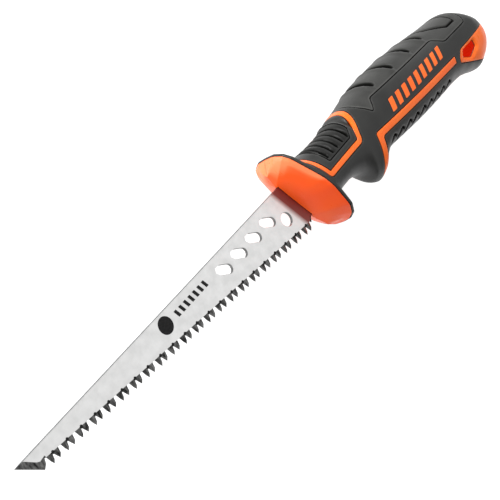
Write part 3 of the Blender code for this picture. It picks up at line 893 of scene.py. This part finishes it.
def blade_holes(grow):
    """Outlines of the round hole, the slots and the pin holes, all larger by some amount."""
    x, y, radius = ROUND_HOLE
    holes = [circle(x, y, radius + grow, ROUND_HOLE_POINTS)]
    holes += [lightening_slot(SLOT_FIRST_X + SLOT_PITCH * i, grow) for i in range(SLOT_COUNT)]
    return holes + [circle(x, 0.0, PIN_HOLE_RADIUS + grow, PIN_HOLE_POINTS) for x in PIN_X]


class BladeSheet:
    """Points and constraint edges of one flat side of the blade, each point with its height."""

    def __init__(self):
        self.points, self.heights, self.sets, self.edges = [], [], [], []

    def add(self, point, height, lean=0.0):
        self.points.append(tuple(point))
        self.heights.append(height)
        self.sets.append(lean)
        return len(self.points) - 1

    def ring(self, outline, height):
        first = len(self.points)
        for point in outline:
            self.add(point, height)
        count = len(outline)
        self.edges += [(first + i, first + (i + 1) % count) for i in range(count)]

    def chain(self, indices):
        self.edges += list(zip(indices, indices[1:]))


# Points of one pair of teeth: place along the row, depth below the tips, half thickness, lean
PAIR_EDGE = ((-0.55, GULLET_DEPTH, TOOTH_EDGE, 0.0), (-0.3, 1.2, TOOTH_EDGE, 0.5), (0.12, 0.0, KEEN, 1.0),
             (1.05, 0.95, TOOTH_EDGE, 0.5), (1.65, NOTCH_DEPTH, TOOTH_EDGE, 0.0),
             (2.1, NOTCH_DEPTH, TOOTH_EDGE, 0.0), (2.75, 1.0, TOOTH_EDGE, -0.5), (3.3, 0.0, KEEN, -1.0),
             (4.22, 1.15, TOOTH_EDGE, -0.5), (4.6, GULLET_DEPTH, TOOTH_EDGE, 0.0))
PAIR_ROOT = ((-0.75, ROOT_DEPTH, BLADE_HALF, 0.0), (0.45, ROOT_DEPTH, BLADE_HALF, 0.0),
             (1.9, ROOT_DEPTH + 0.05, BLADE_HALF, 0.0), (3.35, ROOT_DEPTH, BLADE_HALF, 0.0),
             (4.8, ROOT_DEPTH, BLADE_HALF, 0.0))
PAIR_INNER = ((0.35, 1.7, BLADE_HALF * 0.72, 0.3), (3.4, 1.7, BLADE_HALF * 0.72, -0.3),
              (1.88, NOTCH_DEPTH + 0.5, 0.2, 0.0))
TIP_1, NOTCH_1, NOTCH_2, TIP_2 = 2, 4, 5, 7     # places in a pair's edge
CROWN_1, VALLEY, CROWN_2 = 1, 2, 3              # places in a pair's root


def add_teeth(sheet):
    """Pairs of teeth ground on both flanks; returns the outer chain, the root chain and the places of the
    painted pit shade.
    """
    outer, root, shaded_pits = [], [], []
    for pair in range(PAIR_COUNT):
        start = pair * PAIR_PITCH
        edge, base, (ridge_1, ridge_2, pit) = (
            [sheet.add(tooth_point(start + along, depth), half, lean * TOOTH_SET)
             for along, depth, half, lean in points] for points in (PAIR_EDGE, PAIR_ROOT, PAIR_INNER))
        outer += edge
        root += base
        sheet.chain([edge[TIP_1], ridge_1, base[CROWN_1]])
        sheet.chain([edge[TIP_2], ridge_2, base[CROWN_2]])
        sheet.chain([edge[NOTCH_1], pit, base[VALLEY]])
        sheet.chain([edge[NOTCH_2], pit])
        shaded_pits.append(tooth_point(start + PIT_SHADE_PLACE, NOTCH_DEPTH + PIT_SHADE_DEPTH))
    return outer, root, shaded_pits


def blade_sheet():
    """The blade's side with its teeth, sharpened tip, tang and holes."""
    sheet = BladeSheet()
    outer, root, shaded_pits = add_teeth(sheet)
    edge = BLADE_HALF - EDGE_BREAK
    rest = [sheet.add(point, half) for point, half in (
        ((TIP_X - 9.6, -3.6), TOOTH_EDGE), ((TIP_X - 8.9, -2.2), TOOTH_EDGE), (TIP_HEEL, TIP_KEEN),
        ((TIP_X, SPINE_Y), TIP_KEEN), ((SPINE_END_X, SPINE_Y), edge), ((SHOULDER_X, SPINE_Y), edge),
        ((SHOULDER_X, -TANG_HALF), edge), ((TANG_END_X, -TANG_HALF), edge), ((TANG_END_X, TANG_HALF), edge),
        ((SHOULDER_X, TANG_HALF), edge), ((SHOULDER_X, HEEL_Y), edge), ((-2.1, HEEL_Y), edge),
        ((-0.8, 9.9), TIP_KEEN), ((-0.2, 9.0), TOOTH_EDGE))]
    chain = outer + rest[::-1]
    sheet.chain(chain + [chain[0]])
    inside_x, tang = SHOULDER_X + EDGE_BREAK, TANG_HALF - EDGE_BREAK
    bevel = [sheet.add(point, BLADE_HALF) for point in (
        (TIP_X - 9.9, -4.4), (TIP_X - 7.6, -4.1), (TIP_X - 6.6, -4.7), (TIP_X - 3.4, SPINE_Y + EDGE_BREAK))]
    spine = [bevel[-1]] + [sheet.add(point, BLADE_HALF) for point in (
        (inside_x, SPINE_Y + EDGE_BREAK), (inside_x, -tang), (TANG_END_X + EDGE_BREAK, -tang),
        (TANG_END_X + EDGE_BREAK, tang), (inside_x, tang), (inside_x, HEEL_Y - EDGE_BREAK), (-1.4, 7.7))]
    inner = root + spine[::-1] + bevel[:-1][::-1]
    sheet.chain(inner + [inner[0]])
    hole_lines = blade_holes(0.0)
    for hole, grown in zip(hole_lines, blade_holes(EDGE_BREAK)):
        sheet.ring(hole, edge)
        sheet.ring(grown, BLADE_HALF)
    outline = [sheet.points[i] for i in chain]
    flat_outline = [sheet.points[i] for i in inner]
    return sheet, outline, flat_outline, hole_lines, shaded_pits


def build_blade(looks):
    """The blade with ground teeth and tip, from one triangulated side mirrored to the other."""
    sheet, outline, flat_outline, hole_lines, shaded_pits = blade_sheet()
    flat, faces = triangulated(sheet.points, sheet.edges, 1e-6)
    tree = tree_of(sheet.points)
    nearest = [tree.find((x, y, 0.0))[1] for x, y in flat]
    height = np.array(sheet.heights)[nearest]
    lean = np.array(sheet.sets)[nearest]
    middle = flat[faces].mean(axis=1)
    keep = inside(middle, outline)
    for hole in hole_lines:
        keep &= ~inside(middle, hole)
    faces, middle = faces[keep], middle[keep]
    ground = ~inside(middle, flat_outline) & (middle[:, 0] > GROUND_FROM_X)
    near_edge = distance_to_line(middle, [(SPINE_END_X, SPINE_Y), (SHOULDER_X, SPINE_Y)]) < 2 * EDGE_BREAK
    slots = np.where(ground & ~near_edge, 1, 0)
    for hole in hole_lines:
        slots[distance_to_line(middle, hole + [hole[0]]) < 1.5 * EDGE_BREAK] = 0
    top = np.column_stack((flat, lean + height))
    bottom = np.column_stack((flat, lean - height))
    all_faces = two_sided(faces, len(flat), open_edges(faces))
    all_slots = [*slots, *slots] + [2] * (len(all_faces) - 2 * len(faces))
    points = np.concatenate((top, bottom))
    blade = mesh_from("blade_ground", points, all_faces, looks, all_slots)
    blade.data.set_sharp_from_angle(angle=BLADE_SHARP_ANGLE)
    return blade, shaded_pits


def plate(name, outlines, low, high, look):
    """Thin flat plates over outlines, such as ink on the blade."""
    points, faces = [], []
    for outline in outlines:
        start, count = len(points), len(outline)
        points += [(x, y, low) for x, y in outline] + [(x, y, high) for x, y in outline]
        faces.append(tuple(range(start, start + count))[::-1])
        faces.append(tuple(range(start + count, start + 2 * count)))
        for i in range(count):
            j = (i + 1) % count
            faces.append((start + i, start + j, start + count + j, start + count + i))
    return mesh_from(name, points, faces, [] if look is None else [look])


# ---------------------------------------------------------------- materials

MIX_A, MIX_B, MIX_RESULT = 6, 7, 2      # the colour sockets of a mix node
PAINTED_SHADE_SHARE = 0.12             # painted shade in the seams and grooves is this much of the plastic's own colour
PAINTED_HIGHLIGHT_SHARE = 0.55             # how much of the painted highlight colour shows on the edge beside a seam


class Look:
    """A node material being built: the methods add nodes and return their outputs."""

    def __init__(self, name):
        self.material = bpy.data.materials.new(name)
        self.material.use_nodes = True
        self.nodes = self.material.node_tree.nodes

    def feed(self, socket, value):
        """Set a socket to a value, or link another node's output to it."""
        if isinstance(value, bpy.types.NodeSocket):
            self.material.node_tree.links.new(value, socket)
        else:
            socket.default_value = value

    def node(self, kind, output, sockets, **settings):
        made = self.nodes.new("ShaderNode" + kind)
        for title, value in settings.items():
            setattr(made, title, value)
        for socket, value in sockets.items():
            self.feed(made.inputs[socket], value)
        return made.outputs[output]

    def surface(self, sockets):
        """Set or link the sockets of the material's own shader."""
        for socket, value in sockets.items():
            self.feed(self.nodes["Principled BSDF"].inputs[socket], value)

    def noise(self, scale, detail=3.0, stretch=(1.0, 1.0, 1.0)):
        """Noise in the object's own space; the scale is in cycles per metre."""
        place = self.node("TexCoord", "Object", {})
        stretched = self.node("Mapping", "Vector", {"Vector": place, "Scale": stretch})
        return self.node("TexNoise", "Fac", {"Vector": stretched, "Scale": scale, "Detail": detail})

    def remap(self, value, low, high, to_low=0.0, to_high=1.0):
        return self.node("MapRange", "Result", {"Value": value, "From Min": low, "From Max": high,
                                                "To Min": to_low, "To Max": to_high})

    def mix(self, factor, first, second):
        """Blend two colours, each a tuple or another node's output."""
        sockets = {"Factor": factor}
        for socket, colour in ((MIX_A, first), (MIX_B, second)):
            sockets[socket] = (*colour, 1.0) if isinstance(colour, tuple) else colour
        return self.node("Mix", MIX_RESULT, sockets, data_type="RGBA")

    def dot(self, vector, direction):
        return self.node("VectorMath", "Value", {0: vector, 1: direction}, operation="DOT_PRODUCT")

    def bump(self, height, depth, strength):
        """Bump from a height; the depth is in millimetres."""
        return self.node("Bump", "Normal", {"Height": height, "Distance": depth * MM, "Strength": strength})

    def relief(self, title, low, high, to_low, to_high):
        """A value that follows the mesh's relief: its distance from a seam, or its depth in a groove."""
        attribute = self.node("Attribute", "Fac", {}, attribute_name=title)
        return self.remap(attribute, low, high, to_low, to_high)


def painted_seam_light(look, body, colour, dark_reach, highlight_reach, highlight_gain):
    """Painted shade in the seams and grooves, and a painted highlight: a paler line on the edges beside the
    seams.
    """
    painted_highlight = tuple(min(1.0, c * highlight_gain) for c in colour)
    painted_shade = tuple(c * PAINTED_SHADE_SHARE for c in colour)
    # painted highlight beside the seams, then painted shade in the seams and in the grooves
    body = look.mix(look.relief("seam", dark_reach * 1.6, highlight_reach, PAINTED_HIGHLIGHT_SHARE, 0.0), body, painted_highlight)
    body = look.mix(look.relief("seam", dark_reach * 0.6, dark_reach * 1.5, 1.0, 0.0), body, painted_shade)
    return look.mix(look.relief("hollow", 0.12, 0.75, 0.0, 0.95), body, painted_shade)


def dulled(look, sheen):
    """Sheen that dies away inside grooves and right at the seams, where light hardly reaches."""
    in_groove = look.relief("hollow", 0.1, 0.45, sheen, 0.0)
    at_seam = look.relief("seam", 0.08, 0.26, 0.0, 1.0)
    return look.node("Math", "Value", {0: in_groove, 1: at_seam}, operation="MULTIPLY")


def soft_plastic(name, colour, grain_scale, grain_depth, rough, sheen):
    """Soft-touch overmould: fine leathery grain, uneven sheen, painted shade in the seams and grooves, and
    a painted highlight beside the seams.
    """
    look = Look(name)
    dark = tuple(c * 0.72 for c in colour)
    light = tuple(c * 1.35 for c in colour)
    cloud = look.noise(130.0, 4.0)
    body = look.mix(look.remap(cloud, 0.3, 0.7), dark, light)
    look.surface({
        # painted shade in the seams and grooves, painted highlight beside the seams
        "Base Color": painted_seam_light(look, body, colour, 0.24, 1.0, 3.0),
        "Roughness": look.remap(cloud, 0.3, 0.7, rough - 0.06, rough + 0.08),
        "Normal": look.bump(look.noise(grain_scale, 2.0), grain_depth, 0.8),
        "Specular IOR Level": dulled(look, sheen)})
    return look.material


def leaning(look):
    """How far a face leans towards the spine or out of the flat sides."""
    normal = look.node("NewGeometry", "Normal", {})
    outward = look.node("VectorMath", "Vector", {0: normal}, operation="ABSOLUTE")
    to_sides = look.dot(outward, (0.0, 0.0, 0.5))
    to_spine = look.dot(normal, (0.1, -0.85, 0.0))
    return look.node("Math", "Value", {0: to_sides, 1: to_spine}, operation="ADD")


def hard_plastic(name, colour, facing_highlight=None, glow=0.0):
    """Semi-gloss moulded plastic: faint orange peel, slight colour drift, painted shade at the seams and a
    painted highlight beside them.

    A painted highlight colour shows where a face leans towards the spine or the flat sides. A glow stands
    for light that comes through a thin wall.
    """
    look = Look(name)
    warm = (colour[0], colour[1] * 1.25, colour[2] * 1.5)
    body = look.mix(look.remap(look.noise(60.0), 0.35, 0.65), colour, warm)
    # painted shade at the seams and grooves, painted highlight beside the seams
    body = painted_seam_light(look, body, colour, 0.16, 0.7, 1.3)
    # painted highlight on faces that lean towards the spine or the flat sides
    if facing_highlight is not None:
        body = look.mix(look.remap(leaning(look), 0.22, 0.38, 0.0, 0.75), body, facing_highlight)
    scuffs = look.noise(900.0, 5.0, (1.0, 0.35, 1.0))
    look.surface({
        "Base Color": body,
        "Roughness": look.remap(scuffs, 0.3, 0.75, 0.26, 0.42),
        "Normal": look.bump(look.noise(1400.0, 1.0), 0.012, 0.6),
        "Specular IOR Level": 0.35,
        "Subsurface Weight": 0.08,
        "Subsurface Radius": (0.0012, 0.0004, 0.0002),
        "Emission Color": (*colour, 1.0),
        "Emission Strength": glow})
    return look.material


def plate_steel(name):
    """Satin rolled steel with fine lengthwise lines, mottling and the guard's reflection."""
    look = Look(name)
    mottle = look.noise(260.0, 5.0)
    lines = look.noise(2600.0, 2.0, (0.06, 1.0, 1.0))
    body = look.mix(look.remap(mottle, 0.35, 0.65), (0.76, 0.76, 0.755), (0.88, 0.88, 0.875))
    from_ridge = look.dot(look.node("TexCoord", "Object", {}), (1.0, RIDGE_LEAN, 0.0))
    at_ridge = ORIGIN.x + ORIGIN.y * RIDGE_LEAN
    start, end = (at_ridge + reach * MM for reach in REFLECTION_REACH)
    look.surface({
        "Base Color": look.mix(look.remap(from_ridge, start, end, 0.93, 0.0), body, (0.20, 0.022, 0.014)),
        "Metallic": 1.0,
        "Roughness": look.remap(mottle, 0.3, 0.7, 0.28, 0.36),
        "Normal": look.bump(lines, 0.0015, 0.3)})
    return look.material


def ground_steel(name, dark, light, rough):
    """Ground steel with grinding lines across the edge and heat-darkened patches."""
    look = Look(name)
    patches = look.noise(900.0, 3.0, (1.0, 0.3, 1.0))
    lines = look.noise(5000.0, 2.0, (1.0, 0.05, 1.0))
    look.surface({
        "Base Color": look.mix(look.remap(patches, 0.35, 0.65), dark, light),
        "Metallic": 1.0,
        "Roughness": look.remap(lines, 0.3, 0.7, rough - 0.08, rough + 0.1),
        "Normal": look.bump(lines, 0.01, 0.6)})
    return look.material


def ink(name):
    """Matt black print with a slightly uneven gloss."""
    look = Look(name)
    speckle = look.noise(1500.0)
    look.surface({
        "Base Color": look.mix(look.remap(speckle, 0.4, 0.75), (0.003,) * 3, (0.015,) * 3),
        "Roughness": look.remap(speckle, 0.3, 0.7, 0.5, 0.7),
        "Specular IOR Level": 0.2})
    return look.material


def floor_material():
    """Pale floor, lit a little from within so that shadows on it stay faint."""
    look = Look("studio_floor")
    look.surface({
        "Base Color": look.mix(look.noise(3.0, 2.0), (0.33,) * 3, (0.36,) * 3),
        "Roughness": 0.9,
        "Specular IOR Level": 0.1,
        "Emission Color": (1.0, 1.0, 1.0, 1.0),
        "Emission Strength": FLOOR_GLOW})
    return look.material


# ---------------------------------------------------------------- the object

def finished(piece, slot, *nodes):
    """Hand a piece over: it rides on the saw's one body and stands for these nodes."""
    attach(piece, "root")
    if nodes:
        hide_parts(*nodes)


def dress_object():
    orange = hard_plastic("orange_core", (0.99, 0.137, 0.0095))
    # the guard's orange takes a painted highlight on faces that lean towards the spine or the flat sides
    guard_orange = hard_plastic("orange_guard", (0.99, 0.09, 0.008), facing_highlight=(0.99, 0.27, 0.11))
    # the hang hole's walls: the core's orange plastic, painted a deeper red with a glow as painted shade
    # and light inside the hole
    hole_wall_shade_and_glow = hard_plastic("orange_hole_wall", (0.85, 0.018, 0.003), glow=0.6)
    black = soft_plastic("black_grip", (0.0135, 0.0137, 0.0127), 2600.0, 0.05, 0.42, 0.42)
    grey = soft_plastic("grey_inlay", (0.0285, 0.0287, 0.0268), 1700.0, 0.07, 0.5, 0.38)
    dark_grey = soft_plastic("thumb_inlay", (0.0105, 0.0107, 0.0099), 1700.0, 0.05, 0.45, 0.24)
    steel = plate_steel("blade_plate")
    ground = ground_steel("tooth_ground", (0.025,) * 3, (0.27, 0.27, 0.266), 0.38)
    cut_edge = ground_steel("sheared_edge", (0.10,) * 3, (0.24,) * 3, 0.45)
    pins = ground_steel("pin_drawn", (0.45, 0.45, 0.46), (0.6,) * 3, 0.38)
    print_ink = ink("blade_ink")

    sheet = HandleSheet()
    grip = skin_piece("grip_skin", sheet, ["grip", "mark"], [black, orange], ["grip", "mark"])
    finished(grip, "grip_rubber", "grip")
    finished(skin_piece("thumb_saddle", sheet, ["pad"], [black]), "grip_rubber", "thumb_pad")
    finished(skin_piece("thumb_ribs", sheet, ["inlay"], [dark_grey]), "inlay_rubber", "thumb_inlay")
    finished(skin_piece("spine_panel", sheet, ["panel"], [grey]), "inlay_rubber", "top_panel")
    for name, side in (("core_near", 1), ("core_far", -1)):
        for piece in core_half(name, sheet, side, [orange, hole_wall_shade_and_glow]):
            finished(piece, "core_plastic")
        finished(guard_half(name + "_guard", side, guard_orange), "core_plastic", name)
    blade, shaded_pits = build_blade([steel, ground, cut_edge])
    finished(blade, "blade_steel", "blade")
    marks = [circle(*BLADE_DISC, DISC_POINTS)] + slanted_bars(*BLADE_BARS)
    prints = plate("blade_print", marks, BLADE_HALF - PRINT_SINK, BLADE_HALF + PRINT_HEIGHT, print_ink)
    # black ink discs on both sides paint the shade deep in the notch of each pair
    pit_shade_outlines = [circle(x, y, PIT_SHADE_RADIUS, PIT_SHADE_POINTS) for x, y in shaded_pits]
    pit_shade_top = BLADE_HALF + PIT_SHADE_HEIGHT
    pit_shade = plate("painted_pit_shade", pit_shade_outlines, -pit_shade_top, pit_shade_top, print_ink)
    finished(prints, "blade_steel")
    finished(pit_shade, "blade_steel")
    for node in ("tang_pin_front", "tang_pin_rear"):
        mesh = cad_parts[node].data
        mesh.materials.clear()
        mesh.materials.append(pins)


# ---------------------------------------------------------------- studio

CAMERA_AT = Vector((321.4, -96.9, 362.1))
CAMERA_TARGET = Vector((29.2, 0.0, 0.0))
CAMERA_UP = Vector((-0.584, -0.767, 0.265))
CAMERA_LENS = 100.0
# Square lights aimed at the middle of the saw: place, size, power
SOFTBOXES = {"key": ((150.0, -800.0, 600.0), 0.4, 8.0), "front": ((480.0, -650.0, 120.0), 0.45, 5.9),
             "ceiling": ((-474.0, 216.0, 808.0), 1.2, 2.5), "fill": ((-800.0, -300.0, 350.0), 0.5, 1.0)}
OFF_THE_BLADE = ("key", "front")      # these would glare from the blade at some other angle
SOFTBOX_UP = Vector((0.1, 0.3, 1.0))
FLOOR_GAP = 0.4
FLOOR_REACH = 3.0
FLOOR_GLOW = 0.9
WORLD_STRENGTH = 0.38


def look_matrix(place, target, up_hint):
    forward = (target - place).normalized()
    right = forward.cross(up_hint).normalized()
    up = right.cross(forward)
    matrix = Matrix((right, up, -forward)).transposed().to_4x4()
    matrix.translation = in_frame(place)
    return matrix


def add_camera():
    data = bpy.data.cameras.new("camera")
    data.lens = CAMERA_LENS
    data.sensor_width = 36.0
    data.clip_start = 0.01
    camera = link("camera", data)
    camera.matrix_world = look_matrix(CAMERA_AT, CAMERA_TARGET, CAMERA_UP)
    bpy.context.scene.camera = camera


def add_softbox(name, place, size, power):
    data = bpy.data.lights.new(name, "AREA")
    data.size = size
    data.energy = power
    light = link(name, data)
    light.matrix_world = look_matrix(Vector(place), Vector((0.0, 0.0, 0.0)), SOFTBOX_UP)
    return light


def shade_from(light, piece):
    """Keep a light off one piece."""
    receivers = bpy.data.collections.new(light.name + "_receivers")
    receivers.objects.link(piece)
    receivers.collection_objects[0].light_linking.link_state = "EXCLUDE"
    light.light_linking.receiver_collection = receivers


def add_studio():
    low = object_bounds()[0].z - FLOOR_GAP * MM
    corners = [(x, y, low) for x, y in ((-1, -1), (1, -1), (1, 1), (-1, 1))]
    mesh = bpy.data.meshes.new("floor")
    mesh.from_pydata([(x * FLOOR_REACH, y * FLOOR_REACH, z) for x, y, z in corners], [], [(0, 1, 2, 3)])
    link("floor", mesh, [floor_material()])
    for name, (place, size, power) in SOFTBOXES.items():
        light = add_softbox(name, place, size, power)
        if name in OFF_THE_BLADE:
            shade_from(light, bpy.data.objects["blade_ground"])
    world = bpy.data.worlds.new("studio")
    world.use_nodes = True
    background = world.node_tree.nodes["Background"]
    background.inputs["Color"].default_value = (1.0, 1.0, 1.0, 1.0)
    background.inputs["Strength"].default_value = WORLD_STRENGTH
    bpy.context.scene.world = world
    bpy.context.scene.view_settings.view_transform = "Standard"


dress_object()
add_studio()
add_camera()
